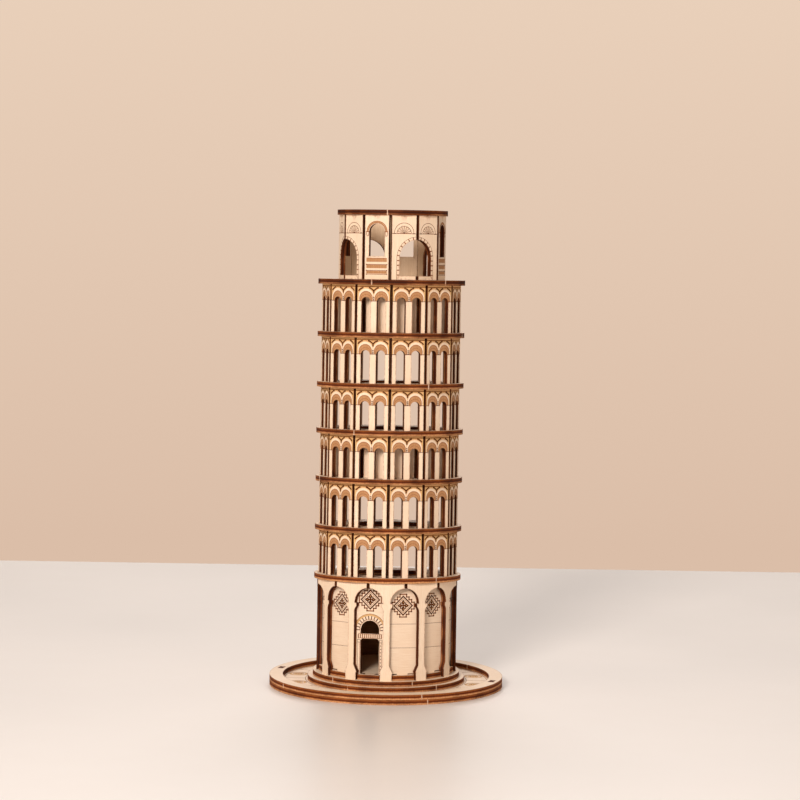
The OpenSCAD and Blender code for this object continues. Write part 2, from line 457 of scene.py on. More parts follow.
class Piece:
    """One visible piece: plates, each put in place, joined in one mesh. It replaces its CAD node."""

    def __init__(self, name, node_slot):
        self.name, self.node_slot = name, node_slot
        self.points, self.grain, self.scorch, self.shade, self.burn = [], [], [], [], []
        self.faces, self.kinds = [], []

    def place(self, sheet, matrix, grain_turn=0, level=None, burn=0.5):
        """Adds a sheet. grain_turn is the direction of its wood grain, and burn how dark its edges are,
        from 0 to 1; hole walls get painted shade on top of it. level(x, y, out) cuts its foot.
        """
        start = len(self.points)
        away = Vector((rng.uniform(0, BOARD), rng.uniform(0, BOARD)))
        shade = rng.uniform(0, 1)
        c, s = math.cos(math.radians(grain_turn)), math.sin(math.radians(grain_turn))
        for (x, y, out), burnt, inner in zip(sheet.points, sheet.scorch, sheet.inner):
            if level:
                y = level(x, y, out)
            self.points.append(matrix @ Vector((x, y, out)))
            self.grain.append((x * c + y * s + away.x, y * c - x * s + away.y, out))
            self.scorch.append(burnt)
            self.shade.append(shade)
            # A hole's walls get painted shade on top of the burn
            self.burn.append(burn + HOLE_WALL_SHADE * inner)
        self.faces += [[start + v for v in face] for face in sheet.faces]
        self.kinds += sheet.kinds

    def finish(self, materials):
        mesh = bpy.data.meshes.new(self.name)
        mesh.from_pydata([p * MM for p in self.points], [], self.faces)
        used = sorted(set(self.kinds))
        for kind in used:
            mesh.materials.append(materials[kind])
        place = {kind: n for n, kind in enumerate(used)}
        mesh.polygons.foreach_set("material_index", [place[k] for k in self.kinds])
        for name, kind, values in (
            ("grain", "FLOAT_VECTOR", self.grain),
            ("scorch", "FLOAT", self.scorch),
            ("shade", "FLOAT", self.shade),
            ("burn", "FLOAT", self.burn),
        ):
            data = mesh.attributes.new(name, kind, "POINT").data
            data.foreach_set("vector" if kind == "FLOAT_VECTOR" else "value", np.ravel(values))
        mesh.shade_smooth()
        mesh.set_sharp_from_angle(angle=math.radians(SHARP_ANGLE))
        mesh.validate()
        piece = add_object(self.name + "_wood", mesh)
        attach(piece, "root")
        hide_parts(self.name)


# ---- Places ----


def leaning():
    return Matrix.Translation((0, 0, PLINTH_TOP)) @ Matrix.Rotation(math.radians(-LEAN), 4, "X")


def upright(azimuth, apothem, z=0):
    """From plate coordinates to the tower's: outer face at the apothem, facing the azimuth."""
    stand = Matrix(((1, 0, 0, 0), (0, 0, -1, -apothem), (0, 1, 0, z), (0, 0, 0, 1)))
    return Matrix.Rotation(math.radians(azimuth), 4, "Z") @ stand


def lying(top):
    return Matrix.Translation((0, 0, top))


# ---- Materials ----


def srgb(r, g, b):
    """A colour given as 0-255 display values."""
    values = [v / 255 for v in (r, g, b)]
    return tuple(v / 12.92 if v <= 0.04045 else ((v + 0.055) / 1.055) ** 2.4 for v in values) + (1,)


SCORCHED = srgb(150, 88, 44)
SOOT = srgb(70, 30, 10)
# Colours of a cut edge, from face to back: where the beam moved fast, and where it lingered
FAST_PLIES = (
    (0.0, srgb(112, 54, 22)),
    (0.05, srgb(166, 98, 48)),
    (0.3, srgb(146, 78, 34)),
    (0.36, srgb(98, 40, 12)),
    (0.62, srgb(112, 48, 16)),
    (0.7, srgb(208, 142, 90)),
    (0.93, srgb(226, 168, 118)),
    (1.0, srgb(146, 84, 42)),
)
SLOW_PLIES = (
    (0.0, srgb(58, 24, 9)),
    (0.08, srgb(88, 40, 14)),
    (0.3, srgb(76, 32, 10)),
    (0.36, srgb(44, 16, 6)),
    (0.62, srgb(56, 22, 8)),
    (0.7, srgb(106, 54, 24)),
    (0.93, srgb(114, 60, 28)),
    (1.0, srgb(70, 34, 16)),
)


class Nodes:
    """Short names for building the node tree of a material or a world."""

    def __init__(self, owner, output="ShaderNodeOutputMaterial"):
        self.owner = owner
        owner.use_nodes = True
        self.tree = owner.node_tree
        self.tree.nodes.clear()
        self.output = self.node(output)

    def node(self, kind, **settings):
        made = self.tree.nodes.new(kind)
        for key, value in settings.items():
            setattr(made, key, value)
        return made

    def link(self, source, target):
        self.tree.links.new(source, target)

    def fill(self, socket, value):
        if isinstance(value, bpy.types.NodeSocket):
            self.link(value, socket)
        else:
            socket.default_value = value

    def attribute(self, name, output):
        return self.node("ShaderNodeAttribute", attribute_name=name).outputs[output]

    def math(self, operation, a, b=0.0, clamp=False):
        made = self.node("ShaderNodeMath", operation=operation, use_clamp=clamp)
        self.fill(made.inputs[0], a)
        self.fill(made.inputs[1], b)
        return made.outputs[0]

    def scaled(self, vector, factors):
        made = self.node("ShaderNodeVectorMath", operation="MULTIPLY")
        self.link(vector, made.inputs[0])
        made.inputs[1].default_value = factors
        return made.outputs[0]

    def noise(self, vector, scale=1.0, detail=3.0, roughness=0.5, distortion=0.0):
        made = self.node("ShaderNodeTexNoise")
        self.link(vector, made.inputs["Vector"])
        made.inputs["Scale"].default_value = scale
        made.inputs["Detail"].default_value = detail
        made.inputs["Roughness"].default_value = roughness
        made.inputs["Distortion"].default_value = distortion
        return made.outputs["Fac"]

    def ramp(self, value, stops):
        made = self.node("ShaderNodeValToRGB")
        elements = made.color_ramp.elements
        while len(elements) < len(stops):
            elements.new(0.5)
        for element, (position, colour) in zip(elements, stops):
            element.position = position
            element.color = colour
        self.link(value, made.inputs["Fac"])
        return made.outputs["Color"]

    def mix(self, factor, a, b):
        made = self.node("ShaderNodeMix", data_type="RGBA")
        self.fill(made.inputs[0], factor)
        self.fill(made.inputs[6], a)
        self.fill(made.inputs[7], b)
        return made.outputs[2]

    def remap(self, value, low, high, to_low=0.0, to_high=1.0):
        made = self.node("ShaderNodeMapRange", clamp=True)
        self.link(value, made.inputs["Value"])
        limits = {"From Min": low, "From Max": high, "To Min": to_low, "To Max": to_high}
        for socket, number in limits.items():
            made.inputs[socket].default_value = number
        return made.outputs["Result"]

    def bump(self, height, distance, strength):
        made = self.node("ShaderNodeBump")
        made.inputs["Strength"].default_value = strength
        made.inputs["Distance"].default_value = distance
        self.link(height, made.inputs["Height"])
        return made.outputs["Normal"]

    def surface(self, colour, roughness, normal, specular=0.3):
        shader = self.node("ShaderNodeBsdfPrincipled")
        self.fill(shader.inputs["Base Color"], colour)
        self.fill(shader.inputs["Roughness"], roughness)
        self.link(normal, shader.inputs["Normal"])
        shader.inputs["Specular IOR Level"].default_value = specular
        self.link(shader.outputs[0], self.output.inputs["Surface"])
        return self.owner


def material_nodes(name):
    return Nodes(bpy.data.materials.new(name))


def wood_figure(n):
    """The pattern of birch: long streaks, short dark pores and a slow drift of colour."""
    grain = n.attribute("grain", "Vector")
    streaks = n.noise(n.scaled(grain, (0.16, 3.6, 0.7)), detail=5, roughness=0.6, distortion=0.3)
    pores = n.noise(n.scaled(grain, (1.1, 11.0, 2.0)), detail=2)
    drift = n.noise(n.scaled(grain, (0.03, 0.11, 0.1)), detail=2)
    return grain, streaks, pores, drift


def birch(name, light, dark, pore):
    """A sanded birch face, scorched beside the cuts."""
    n = material_nodes(name)
    grain, streaks, pores, drift = wood_figure(n)
    colour = n.mix(n.remap(streaks, 0.36, 0.68), light, dark)
    colour = n.mix(n.remap(drift, 0.35, 0.65, 0.0, 0.35), colour, dark)
    colour = n.mix(n.remap(pores, 0.63, 0.74, 0.0, 0.55), colour, pore)
    shade = n.remap(n.attribute("shade", "Fac"), 0.0, 1.0, 0.0, 0.22)
    colour = n.mix(shade, colour, dark)
    ragged = n.noise(n.scaled(grain, (0.9, 0.9, 0.9)), detail=4)
    burnt = n.math("MULTIPLY", n.attribute("scorch", "Fac"), n.remap(ragged, 0.3, 0.7, 0.35, 1.0))
    colour = n.mix(n.math("POWER", burnt, 1.6), colour, SCORCHED)
    roughness = n.remap(streaks, 0.3, 0.7, 0.5, 0.66)
    return n.surface(colour, roughness, n.bump(streaks, 0.05 * MM, 0.35))


def raster_tone(name, light, dark, scorched):
    """A field that the laser has toasted line by line."""
    n = material_nodes(name)
    grain, streaks, pores, drift = wood_figure(n)
    colour = n.mix(n.remap(streaks, 0.36, 0.68), light, dark)
    colour = n.mix(n.remap(drift, 0.35, 0.65, 0.0, 0.4), colour, dark)
    scan = n.node("ShaderNodeTexWave", bands_direction="Y")
    n.link(grain, scan.inputs["Vector"])
    scan.inputs["Scale"].default_value = 2.2
    scan.inputs["Distortion"].default_value = 0.4
    colour = n.mix(n.remap(scan.outputs["Fac"], 0.0, 1.0, 0.0, 0.2), colour, scorched)
    colour = n.mix(n.remap(pores, 0.63, 0.74, 0.0, 0.5), colour, scorched)
    roughness = n.remap(streaks, 0.3, 0.7, 0.6, 0.75)
    return n.surface(colour, roughness, n.bump(scan.outputs["Fac"], 0.04 * MM, 0.4), 0.2)


def engraved_line(name, light, dark):
    """The floor of an engraved line, dark with soot."""
    n = material_nodes(name)
    grain = n.attribute("grain", "Vector")
    soot = n.noise(n.scaled(grain, (1.3, 1.3, 1.3)), detail=4, roughness=0.6)
    colour = n.mix(n.remap(soot, 0.35, 0.65), light, dark)
    roughness = n.remap(soot, 0.3, 0.7, 0.75, 0.9)
    return n.surface(colour, roughness, n.bump(soot, 0.06 * MM, 0.5), 0.15)


def burnt_edge():
    """A laser-cut edge: the plies show as bands, striped by the beam and smudged with soot."""
    n = material_nodes("burnt_edge")
    grain = n.attribute("grain", "Vector")
    depth = n.node("ShaderNodeSeparateXYZ")
    n.link(grain, depth.inputs[0])
    wobble = n.noise(n.scaled(grain, (0.5, 0.5, 0.2)), detail=3)
    band = n.math("DIVIDE", depth.outputs["Z"], -PLY)
    band = n.math("ADD", band, n.remap(wobble, 0.0, 1.0, -0.09, 0.09))
    smudge = n.noise(n.scaled(grain, (0.11, 0.11, 0.11)), detail=3)
    uneven = n.remap(smudge, 0.35, 0.68, -0.35, 0.4)
    # How dark the edge is: the laser's burn, with painted shade added on hole walls and on the upright
    # panels' edges
    burn = n.math("ADD", n.attribute("burn", "Fac"), uneven, clamp=True)
    plies = n.mix(burn, n.ramp(band, FAST_PLIES), n.ramp(band, SLOW_PLIES))
    stripes = n.noise(n.scaled(grain, (5.5, 5.5, 0.35)), detail=3, roughness=0.6)
    colour = n.mix(n.remap(stripes, 0.35, 0.7, 0.0, 0.5), plies, SOOT)
    roughness = n.remap(stripes, 0.3, 0.7, 0.6, 0.85)
    return n.surface(colour, roughness, n.bump(stripes, 0.08 * MM, 0.5), 0.12)


MATERIALS = {
    FACE: birch("birch_face", srgb(242, 222, 200), srgb(230, 203, 175), srgb(196, 154, 116)),
    TONE: raster_tone("pale_toasted_birch", srgb(226, 186, 132), srgb(206, 160, 104), srgb(164, 110, 60)),
    DUSK: raster_tone("toasted_birch", srgb(196, 150, 108), srgb(174, 124, 82), srgb(136, 88, 50)),
    TRACE: engraved_line("traced_line", srgb(152, 92, 50), srgb(114, 62, 30)),
    LINE: engraved_line("engraved_line", srgb(104, 48, 16), srgb(62, 24, 6)),
    BACK: birch("birch_back", srgb(236, 212, 184), srgb(218, 188, 154), srgb(184, 142, 104)),
    EDGE: burnt_edge(),
}
# The ground storey's plates get darker birch on their backs: painted shade for the dim inside of the
# tower
PAINTED_SHADE_BACKS = dict(MATERIALS)
PAINTED_SHADE_BACKS[BACK] = birch("painted_shade_birch", srgb(176, 128, 84), srgb(142, 96, 58), srgb(110, 70, 40))


def make_plate(name, node_slot, sheet, place, materials=MATERIALS, **looks):
    """A piece of one plate."""
    piece = Piece(name, node_slot)
    piece.place(sheet, place, **looks)
    piece.finish(materials)


def make_ring(name, node_slot, sheet, azimuths, apothem, z):
    """A piece of identical panels, standing in a ring on the tower."""
    piece = Piece(name, node_slot)
    for azimuth in azimuths:
        place = leaning() @ upright(azimuth, apothem, z)
        piece.place(sheet, place, grain_turn=90, burn=UPRIGHT_BURN_AND_SHADE)
    piece.finish(MATERIALS)


# ---- Base and plinth ----


def slot_hole(azimuth, apothem, x, w, gap=TAB_GAP):
    """A slot through a lying plate, for a tab of an upright plate."""
    box = rect(x - w / 2 - gap, -apothem - gap, x + w / 2 + gap, PLY - apothem + gap)
    return turned(box, azimuth)


def round_plate(r, stub_azimuths=(), proud=STUB_OUT, steps=180):
    """A round outline with a stub at each azimuth, and the stubs' places."""
    half = math.degrees(STUB_W / 2 / r)
    crest = half * STUB_TAPER
    clear = half + STUB_CLEAR
    plain = [360 * n / steps for n in range(steps)]
    near = [a for a in plain if any(abs((a - s + 180) % 360 - 180) <= clear for s in stub_azimuths)]
    corners = [(a, r) for a in plain if a not in near]
    for s in stub_azimuths:
        s %= 360
        corners += [(s - half, r), (s - crest, r + proud), (s + crest, r + proud), (s + half, r)]
    outline = [around(radius, a) for a, radius in sorted(corners)]
    return outline, [around(r + proud / 2, s) for s in stub_azimuths]


def peg_holes():
    half_w, half_t = PEG_W / 2 + TAB_GAP, PLY / 2 + TAB_GAP
    hole = rect(-half_w, -PEG_R - half_t, half_w, -PEG_R + half_t)
    return [turned(hole, a) for a in PEG_AZIMUTHS]


# Paving engraved in the recess: a medallion in each bay, between two borders
PAVING_INNER_R = 36.3
PAVING_OUTER_R = 45.7
MEDALLION_R = 4.1
# Radii in a medallion, and how far out its seeds stand, as shares of its own
FIELD_SHARE = 0.74
HEART_SHARE = 0.58
SEED_SHARE = 0.1
SEED_OUT = 0.32
SEEDS = 6


def ring_line(cx, cy, r, steps):
    return drawn(TRACE, circle(cx, cy, r, steps), FINE, closed=True)


def paving():
    marks = ring_line(0, 0, PAVING_INNER_R, 120) + ring_line(0, 0, PAVING_OUTER_R, 120)
    for i in range(BAYS):
        x, y = around((PAVING_INNER_R + PAVING_OUTER_R) / 2, wall_az(i))
        heart_r = HEART_SHARE * MEDALLION_R
        marks.append((TONE, circle(x, y, MEDALLION_R, 28)))
        marks += ring_line(x, y, MEDALLION_R, 28)
        marks.append((FACE, circle(x, y, FIELD_SHARE * MEDALLION_R, 24)))
        marks.append((TONE, circle(x, y, heart_r, 24)))
        marks += ring_line(x, y, heart_r, 24)
        for n in range(SEEDS):
            dx, dy = turned([(0, SEED_OUT * MEDALLION_R)], n * 360 / SEEDS)[0]
            marks += dots(TRACE, [(x + dx, y + dy)], SEED_SHARE * MEDALLION_R, 10)
        spoke = [around(r, pillar_az(i)) for r in (PAVING_INNER_R, PAVING_OUTER_R)]
        marks += drawn(TRACE, spoke, BOLD)
    return marks


def make_base():
    outline, stubs = round_plate(BASE_R, (20.8, 140, -150))
    sheet = Sheet(outline, peg_holes(), paving(), stubs)
    make_plate("base_plate", "base_ply", sheet, lying(PLY), grain_turn=4, burn=0.25)

    outline, stubs = round_plate(BASE_R, (-60, 17.8, 110, 200))
    recess, inner_stubs = round_plate(RECESS_R, (127,), -STUB_OUT)
    sheet = Sheet(outline, [recess] + peg_holes(), stubs=stubs + inner_stubs)
    make_plate("base_ring", "ring_ply", sheet, lying(2 * PLY), grain_turn=28, burn=0.0)

    piece = Piece("base_lock_pegs", "peg_ply")
    block = rect(-PEG_W / 2, -PLY / 2, PEG_W / 2, PLY / 2)
    for a in PEG_AZIMUTHS:
        place = Matrix.Rotation(math.radians(a), 4, "Z") @ Matrix.Translation((0, -PEG_R, 2 * PLY))
        piece.place(Sheet(block, marks=[(LINE, block)], thickness=2 * PLY), place)
    piece.finish(MATERIALS)

    for name, r, top, azimuths in (
        ("plinth_lower_disc", PLINTH_LOWER_R, 2 * PLY, (-28.5, 39.8, 160)),
        ("plinth_upper_disc", PLINTH_UPPER_R, 3 * PLY, (-45.6, 21.1, 190)),
    ):
        outline, stubs = round_plate(r, azimuths)
        sheet = Sheet(outline, stubs=stubs)
        make_plate(name, "plinth_ply", sheet, lying(top), grain_turn=rng.uniform(-20, 20), burn=0.35)


def make_sill():
    notch_x = FOOT_W / 2 + FOOT_GAP
    notch_y = PILLAR_APOTHEM - PLY - FOOT_GAP
    side_y = (SILL_APOTHEM - notch_x * math.sin(HALF_BAY)) / math.cos(HALF_BAY)
    notch = [(-notch_x, -side_y), (-notch_x, -notch_y), (notch_x, -notch_y), (notch_x, -side_y)]
    outline = [p for i in range(BAYS) for p in turned(notch, pillar_az(i))]
    holes = [
        slot_hole(wall_az(i), WALL_APOTHEM, side * WALL_TAB_X, WIDE_TAB_W, FOOT_GAP)
        for i in range(BAYS)
        for side in (-1, 1)
    ]
    sheet = Sheet(outline, holes)
    make_plate("sill_plate", "plinth_ply", sheet, lying(PLINTH_TOP + PLY), grain_turn=12, burn=0.3)


# ---- Ground storey ----

# A leaning plate is drawn this far below its floor, and its foot is then moved up to the level plane
SPARE = 1
TAB_SPARE = 3


def pillar_outline(floor_y):
    """The right half from the foot up, then its mirror image."""
    spring_y = GROUND_H - ARCH_SPRING
    impost_y = spring_y - IMPOST_H
    shaft_x = SHAFT_W / 2
    cap_x = IMPOST_W / 2
    joint_x = PILLAR_APOTHEM * math.tan(HALF_BAY)
    half_plate = PILLAR_PLATE_W / 2
    foot_y = floor_y + FOOT_H
    hollow_end = math.degrees(math.acos((cap_x - shaft_x - CAPITAL_H) / CAPITAL_H))
    arch_end = math.degrees(math.acos((half_plate - joint_x) / ARCH_R))
    right = [
        (FOOT_W / 2, floor_y - SPARE),
        (FOOT_W / 2, foot_y),
        (FLARE_W / 2, foot_y),
        (FLARE_W / 2, foot_y + FLARE_LIP),
        (shaft_x, foot_y + FLARE_H),
    ]
    right += arc(shaft_x + CAPITAL_H, impost_y - CAPITAL_H, CAPITAL_H, 180, hollow_end, 8)
    right += [(cap_x, spring_y)]
    right += arc(joint_x, spring_y, ARCH_R, 180, arch_end, 20)
    right += [(half_plate, GROUND_H), (TAB_W / 2, GROUND_H), (TAB_W / 2, GROUND_H + PLY)]
    return right + [(-x, y) for x, y in reversed(right)]


def make_pillars():
    for i in range(BAYS):
        azimuth = pillar_az(i)
        floor = floor_line(azimuth, PILLAR_APOTHEM, 0)
        floor_y = floor(0, -PLY / 2)
        foot_end = floor_y - SPARE / 2

        def level(x, y, out, floor=floor, foot_end=foot_end):
            return floor(x, out) if y < foot_end else y

        sheet = Sheet(pillar_outline(floor_y))
        place = leaning() @ upright(azimuth, PILLAR_APOTHEM)
        name = f"ground_pillar_{i + 1}"
        # Edges at the darkest: partly burn, partly painted shade in the gaps between plates
        make_plate(name, "pillar_ply", sheet, place, PAINTED_SHADE_BACKS, grain_turn=90, level=level, burn=1)


def wall_outline(floor_y):
    """A wall panel with its two tabs at the foot and two at the head."""
    foot_y = floor_y - SPARE
    xs = (-WALL_TAB_X, WALL_TAB_X)
    foot = tabs(xs, WIDE_TAB_W, foot_y, floor_y - TAB_SPARE)
    return panel(WALL_W, foot_y, GROUND_H, foot, tabs(xs, TAB_W, GROUND_H, GROUND_H + PLY))


# Rosette: a diamond frame in a stepped border, round a flower of four petals
ROSETTE_DROP = 10.1
DOOR_ROSETTE_DROP = 7.6
DIAMONDS = ((LINE, 4.6), (FACE, 3.75), (TRACE, 3.35), (FACE, 3.05))
# One quarter of the stepped border
BORDER = [(1.5, 5.05), (1.5, 3.85), (2.65, 3.85), (2.65, 2.65), (3.85, 2.65), (3.85, 1.5), (5.05, 1.5)]
BORDER_W = 0.52
KNOT_R = 0.36
PETAL = [(0.2, 0), (0.8, 0.6), (1.5, 0.8), (2.1, 0.5), (2.7, 0), (2.1, -0.5), (1.5, -0.8), (0.8, -0.6)]
VEIN = [(1.2, 0), (1.5, 0.15), (1.9, 0), (1.5, -0.15)]
BUD_X = 1.1
BUD_R = 0.38
EYE_R = 0.5
SEAM_DROPS = (18.3, 28.9)
FOOT_MARK_W = 3.4
FOOT_MARK_H = 0.4
FOOT_MARK_UP = 0.12


def diamond(half):
    return [(half, 0), (0, half), (-half, 0), (0, -half)]


def rosette(cx, cy):
    border = BORDER + [(x, -y) for x, y in reversed(BORDER)]
    border += [(-x, -y) for x, y in BORDER] + [(-x, y) for x, y in reversed(BORDER)]
    marks = drawn(TRACE, moved(border, cx, cy), BORDER_W, closed=True)
    marks += dots(LINE, moved(border, cx, cy), KNOT_R)
    marks += [(kind, moved(diamond(half), cx, cy)) for kind, half in DIAMONDS]
    for quarter in range(4):
        marks.append((LINE, moved(turned(PETAL, quarter * 90), cx, cy)))
        marks.append((TONE, moved(turned(VEIN, quarter * 90), cx, cy)))
        marks += dots(LINE, moved(turned([(BUD_X, BUD_X)], quarter * 90), cx, cy), BUD_R, 10)
    return marks + dots(LINE, [(cx, cy)], EYE_R, 12)


def foot_marks(sill):
    """Dark marks right over the tabs, along the line where the panel meets the sill: painted shade of the
    gaps over the slots.
    """
    marks = []
    for side in (-1, 1):
        ends = [side * WALL_TAB_X - FOOT_MARK_W / 2, side * WALL_TAB_X + FOOT_MARK_W / 2]
        low = [(x, sill(x, 0) + FOOT_MARK_UP) for x in ends]
        high = [(x, y + FOOT_MARK_H) for x, y in reversed(low)]
        marks.append((LINE, low + high))
    return marks


def wall_marks(sill):
    marks = rosette(0, GROUND_H - ROSETTE_DROP) + foot_marks(sill)
    for drop in SEAM_DROPS:
        y = GROUND_H - drop
        marks.append((TRACE, strip(WALL_W / 2, y - HAIR / 2, y + HAIR / 2)))
    return marks


# Voussoirs round the door, then the barred lintel and the pilasters beside the doorway
VOUSSOIRS = 13
VOUSSOIR_IN = 4.75
VOUSSOIR_OUT = 6.35
VOUSSOIR_EDGE = 0.12
VOUSSOIR_JOINT = 0.4
HOOD_R = 7.2
HOOD_START = -6
DENTILS = 11
DENTIL_PITCH = 0.96
DENTIL_W = 0.56
DENTIL_EDGE = 0.3
LINTEL_HALF_W = 5.5
LINTEL_EDGE = 0.1
PILASTER_X = 5.05
PILASTER_FOOT = 1.2
# Half width, and top and bottom measured down from the lintel: a pilaster's cap, then its pale face
CAP = (0.7, 0.35, 1.8)
CAP_FACE = (0.5, 0.55, 1.6)
PILASTER_DOTS = 8
DOT_FOOT = 2.2
DOT_PITCH = 1.5
DOT_R = 0.24


def sector(cx, cy, r0, r1, start, end, steps):
    return arc(cx, cy, r1, start, end, steps) + arc(cx, cy, r0, end, start, steps)


def door_marks(foot_y):
    spring_y = foot_y + DOOR_SPRING
    lintel_y = foot_y + LINTEL_BOTTOM

    def hood(r0, r1):
        return sector(0, spring_y, r0, r1, HOOD_START, 180 - HOOD_START, 28)

    marks = rosette(0, GROUND_H - DOOR_ROSETTE_DROP)
    marks.append((TONE, hood(VOUSSOIR_IN, HOOD_R)))
    for r in (HOOD_R, VOUSSOIR_IN):
        marks += drawn(TRACE, arc(0, spring_y, r, 0, 180, 28), HAIR)
    marks.append((FACE, hood(VOUSSOIR_IN + VOUSSOIR_EDGE, VOUSSOIR_OUT)))
    for n in range(VOUSSOIRS + 1):
        joint = [polar(0, spring_y, r, 180 * n / VOUSSOIRS) for r in (VOUSSOIR_IN, VOUSSOIR_OUT)]
        marks += drawn(LINE, joint, VOUSSOIR_JOINT)

    def bar(kind, x, half_w, edge):
        return (kind, rect(x - half_w, lintel_y + edge, x + half_w, lintel_y + LINTEL_H - edge))

    marks.append(bar(TRACE, 0, LINTEL_HALF_W, LINTEL_EDGE))
    for n in range(DENTILS):
        marks.append(bar(FACE, (n - (DENTILS - 1) / 2) * DENTIL_PITCH, DENTIL_W / 2, DENTIL_EDGE))
    for side in (-1, 1):
        x = side * PILASTER_X
        for kind, (half_w, top, bottom) in ((LINE, CAP), (FACE, CAP_FACE)):
            marks.append((kind, rect(x - half_w, lintel_y - bottom, x + half_w, lintel_y - top)))
        for line_x in (x - CAP_FACE[0], x + CAP_FACE[0]):
            shaft = [(line_x, foot_y + PILASTER_FOOT), (line_x, lintel_y - CAP[2])]
            marks += drawn(TRACE, shaft, HAIR)
    places = [(PILASTER_X, foot_y + DOT_FOOT + DOT_PITCH * n) for n in range(PILASTER_DOTS)]
    return marks + dots(LINE, places, DOT_R)


def doorway(foot_y):
    """The arched head over the lintel bar, and the doorway under it with its corner brackets."""
    half = DOOR_W / 2
    lintel_y = foot_y + LINTEL_BOTTOM
    cut = BRACKET / math.sqrt(2)
    head = [(half, lintel_y + LINTEL_H)] + arc(0, foot_y + DOOR_SPRING, half, 0, 180, 28)
    head.append((-half, lintel_y + LINTEL_H))
    door = [
        (-half, foot_y - SPARE),
        (half, foot_y - SPARE),
        (half, lintel_y - cut),
        (half - cut, lintel_y),
        (cut - half, lintel_y),
        (-half, lintel_y - cut),
    ]
    return head, door


def door_outline(floor_y):
    """The wall's outline with the doorway cut up from its foot, between the two tabs."""
    outline = wall_outline(floor_y)
    door = doorway(floor_y)[1]
    past_left_tab = 5
    return outline[:past_left_tab] + door[:1] + door[:0:-1] + outline[past_left_tab:]


def make_walls():
    for i in range(BAYS):
        azimuth = wall_az(i)
        sill = floor_line(azimuth, WALL_APOTHEM, PLY)
        plinth = floor_line(azimuth, WALL_APOTHEM, 0)
        floor_y = sill(0, -PLY / 2)

        def level(x, y, out, sill=sill, plinth=plinth, floor_y=floor_y):
            if y < floor_y - (SPARE + TAB_SPARE) / 2:
                return plinth(x, out)
            return sill(x, out) if y < floor_y - SPARE / 2 else y

        if i == 0:
            name = "door_panel"
            sheet = Sheet(door_outline(floor_y), [doorway(floor_y)[0]], door_marks(floor_y))
        else:
            name = f"ground_wall_{i}"
            sheet = Sheet(wall_outline(floor_y), marks=wall_marks(sill))
        place = leaning() @ upright(azimuth, WALL_APOTHEM)
        # Edges at the darkest: partly burn, partly painted shade in the gaps between plates
        make_plate(name, "wall_ply", sheet, place, PAINTED_SHADE_BACKS, level=level, burn=1)


# ---- Decks ----

# How dark the laser left each rim
DECK_BURNS = (0.0, 0.4, 0.5, 0.45, 0.4, 0.55, 0.85)
# Azimuths of the stubs on each rim
DECK_STUBS = ((41.4, -120), (100, -140), (-70, 150), (-28.4, 130), (31.2, -160), (75, -95), (-15.5, 46.5))


def slots(azimuth, apothem, xs):
    return [slot_hole(azimuth, apothem, x, TAB_W) for x in xs]


def deck_slots(k):
    """Slots for the head tabs of the storey under deck k and the foot tabs of the one on it."""
    holes = []
    for i in range(BAYS):
        if k == 1:
            holes += slots(pillar_az(i), PILLAR_APOTHEM, (0,))
            holes += slots(wall_az(i), WALL_APOTHEM, (-WALL_TAB_X, WALL_TAB_X))
        else:
            holes += slots(wall_az(i), LOGGIA_APOTHEM, (-LOGGIA_TAB_X, LOGGIA_TAB_X))
        if k <= STOREYS:
            holes += slots(wall_az(i), LOGGIA_APOTHEM, (0,))
        if k - 1 in CORE_STOREYS:
            holes += slots(wall_az(i), CORE_APOTHEM, (-CORE_W / 4, CORE_W / 4))
        if k in CORE_STOREYS:
            holes += slots(wall_az(i), CORE_APOTHEM, (0,))
    if k == STOREYS + 1:
        holes += belfry_slots()
    return holes


def belfry_slots():
    return [slot for i in range(BAYS) for slot in slots(belfry_az(i), BELFRY_APOTHEM, (0,))]


def make_decks():
    for k in range(1, STOREYS + 2):
        outline, stubs = round_plate(DECK_R, DECK_STUBS[k - 1])
        holes = [circle(0, 0, DECK_HOLE_R, 96)] + deck_slots(k)
        sheet = Sheet(outline, holes, stubs=stubs)
        place = leaning() @ lying(deck_z(k) + PLY)
        grain_turn = rng.uniform(0, 180)
        make_plate(f"deck_{k}", "deck_ply", sheet, place, grain_turn=grain_turn, burn=DECK_BURNS[k - 1])

    outline, stubs = round_plate(TOP_RING_R, (-5.4, 125, -130))
    sheet = Sheet(outline, [circle(0, 0, TOP_HOLE_R, 96)] + belfry_slots(), stubs=stubs)
    place = leaning() @ lying(TOP_RING_Z + PLY)
    make_plate("top_ring", "deck_ply", sheet, place, grain_turn=50, burn=0.9)


# ---- Loggias ----

# The engraved archivolt round each opening, measured down from the deck above
CORNICE_DROP = 0.9
CAPITAL_DROP = 7.25
ARCHIVOLT_R = 3.4
ARCHIVOLT_RISE = 2.45
SHOULDER_X = 3.5
SHOULDER_W = 0.62
SHOULDER_R = 4.4
SHOULDER_DROP = 5.5
SHOULDER_ARCS = ((106, 142), (74, 38))
# Where the pale band ends and the fine lines run, as shares of the way in to the opening
PALE_SHARE = 0.3
FINE_ARCS = ((0.34, 0.2), (0.7, 0.12))
STEM_DROPS = (2.4, 3.9)
BEAD_DROPS = (5.6, 6.4, 7.1)
BEAD_R = 0.32
CORNICE_W = 0.36


def opening_centre(h, side):
    """Centre of the arch over one of a panel's two openings."""
    return side * (MID_COLUMN_W + OPENING_W) / 2, h - CROWN_DROP - OPENING_W / 2


def loggia_outline(h):
    def opening(side):
        x, spring_y = opening_centre(h, side)
        r = OPENING_W / 2
        return [(x - r, 0)] + arc(x, spring_y, r, 180, 0, 20) + [(x + r, 0)]

    foot = opening(-1) + tabs((0,), TAB_W, 0, -PLY) + opening(1)
    return panel(LOGGIA_W, 0, h, foot, tabs((-LOGGIA_TAB_X, LOGGIA_TAB_X), TAB_W, h, h + PLY))


